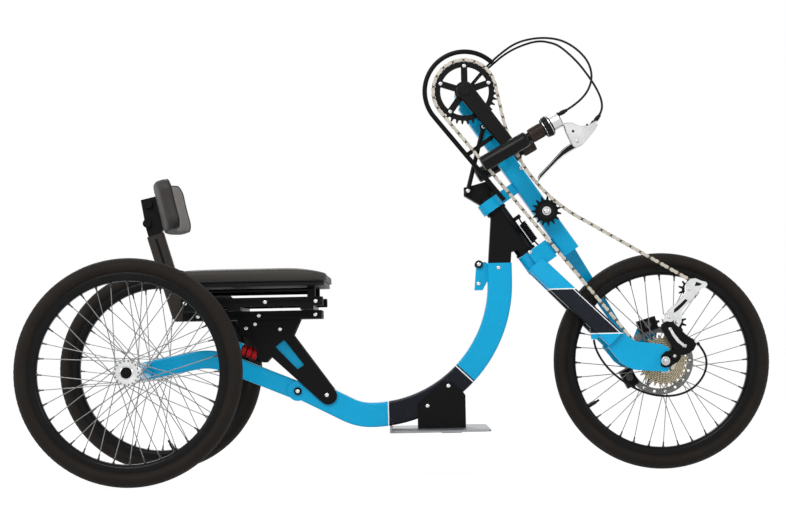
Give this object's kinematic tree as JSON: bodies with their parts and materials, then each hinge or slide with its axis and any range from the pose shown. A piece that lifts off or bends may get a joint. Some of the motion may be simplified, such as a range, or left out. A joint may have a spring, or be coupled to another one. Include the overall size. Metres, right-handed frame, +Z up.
{
  "type": "handcycle",
  "caption": "Upright handcycle with hand cranks over the steered front wheel, a chain drive, a rear swing arm, an upholstered seat with back rest and a foot tray.",
  "frame": {"origin": "on the ground in the centre plane, halfway between the front and the rear axles", "axes": "+X forward, +Y to the vehicle's left, +Z up"},
  "size_m": [1.698, 0.712, 0.9977],
  "materials": {
    "frame_paint": "glossy cyan-blue paint",
    "head_black": "satin black",
    "bright_steel": "bright steel",
    "dark_steel": "black oxide",
    "alloy": "brushed and polished",
    "rim_black": "black anodised",
    "tyre": "matt black rubber",
    "spring_rubber": "red elastomer",
    "black_plastic": "moulded black",
    "grip_rubber": "soft black",
    "upholstery": "black upholstery"
  },
  "bodies": {
    "frame": {"main_tube": "frame_paint", "head_post": "head_black", "accessory_clip": "frame_paint", "swing_arm": "frame_paint", "pivot_bolt": "bright_steel", "rear_axle": "bright_steel", "rubber_spring": "spring_rubber", "seat_plates": "head_black", "seat_rails": "head_black", "seat_board": "black_plastic", "seat_cushion": "upholstery", "back_post": "head_black", "back_adjuster": "head_black", "back_pad": "upholstery", "foot_bracket": "head_black", "foot_tray": "alloy"},
    "rear_wheel_right": {"rear_right_tyre": "tyre", "rear_right_rim": "rim_black", "rear_right_hub": "alloy"},
    "rear_wheel_left": {"rear_left_tyre": "tyre", "rear_left_rim": "rim_black", "rear_left_hub": "alloy"},
    "steering": {"steerer": "bright_steel", "upper_clamp": "frame_paint", "clevis": "head_black", "boom_struts": "head_black", "boom": "frame_paint", "fork": "frame_paint", "front_axle": "bright_steel", "chain": "bright_steel", "chain_guard": "head_black", "idler": "head_black", "derailleur_pulleys": "black_plastic", "derailleur_cage": "bright_steel", "derailleur_body": "alloy", "brake_calipers": "head_black", "centring_spring": "dark_steel", "gear_cable_boom": "grip_rubber", "brake_cable_boom": "grip_rubber", "derailleur_cable": "grip_rubber"},
    "front_wheel": {"front_tyre": "tyre", "front_rim": "rim_black", "front_hub": "alloy", "cassette": "bright_steel", "brake_rotor": "bright_steel"},
    "crank": {"chainring": "head_black", "crank_right": "head_black", "crank_left": "head_black"},
    "grip_right": {"grip_right": "grip_rubber", "twist_shifter": "black_plastic", "brake_lever": "alloy", "gear_cable_grip": "grip_rubber", "brake_cable_grip": "grip_rubber"},
    "grip_left": {"grip_left": "grip_rubber"}
  },
  "joints": [
    {"name": "steer", "type": "hinge", "parent": "frame", "child": "steering", "pos_m": [0.212, 0, 0.624], "axis": [-0.5645, 0, 0.8254], "range_deg": [-30, 30], "stiffness_Nm_per_rad": 3, "deforming": ["centring_spring"]},
    {"name": "front_wheel_spin", "type": "hinge", "parent": "steering", "child": "front_wheel", "pos_m": [0.599, 0, 0.25], "axis": [0, 1, 0], "continuous": true},
    {"name": "rear_right_spin", "type": "hinge", "parent": "frame", "child": "rear_wheel_right", "pos_m": [-0.599, -0.32, 0.25], "axis": [0, 1, 0], "continuous": true},
    {"name": "rear_left_spin", "type": "hinge", "parent": "frame", "child": "rear_wheel_left", "pos_m": [-0.599, 0.32, 0.25], "axis": [0, 1, 0], "continuous": true},
    {"name": "crank_spin", "type": "hinge", "parent": "steering", "child": "crank", "pos_m": [0.154, 0, 0.8805], "axis": [0, 1, 0], "continuous": true, "deforming": ["gear_cable_boom", "brake_cable_boom"]},
    {"name": "grip_right_spin", "type": "hinge", "parent": "crank", "child": "grip_right", "pos_m": [0.26102, -0.175, 0.74204], "axis": [0, 1, 0], "continuous": true, "deforming": ["gear_cable_grip", "brake_cable_grip"]},
    {"name": "grip_left_spin", "type": "hinge", "parent": "crank", "child": "grip_left", "pos_m": [0.26102, 0.175, 0.74204], "axis": [0, 1, 0], "continuous": true}
  ]
}
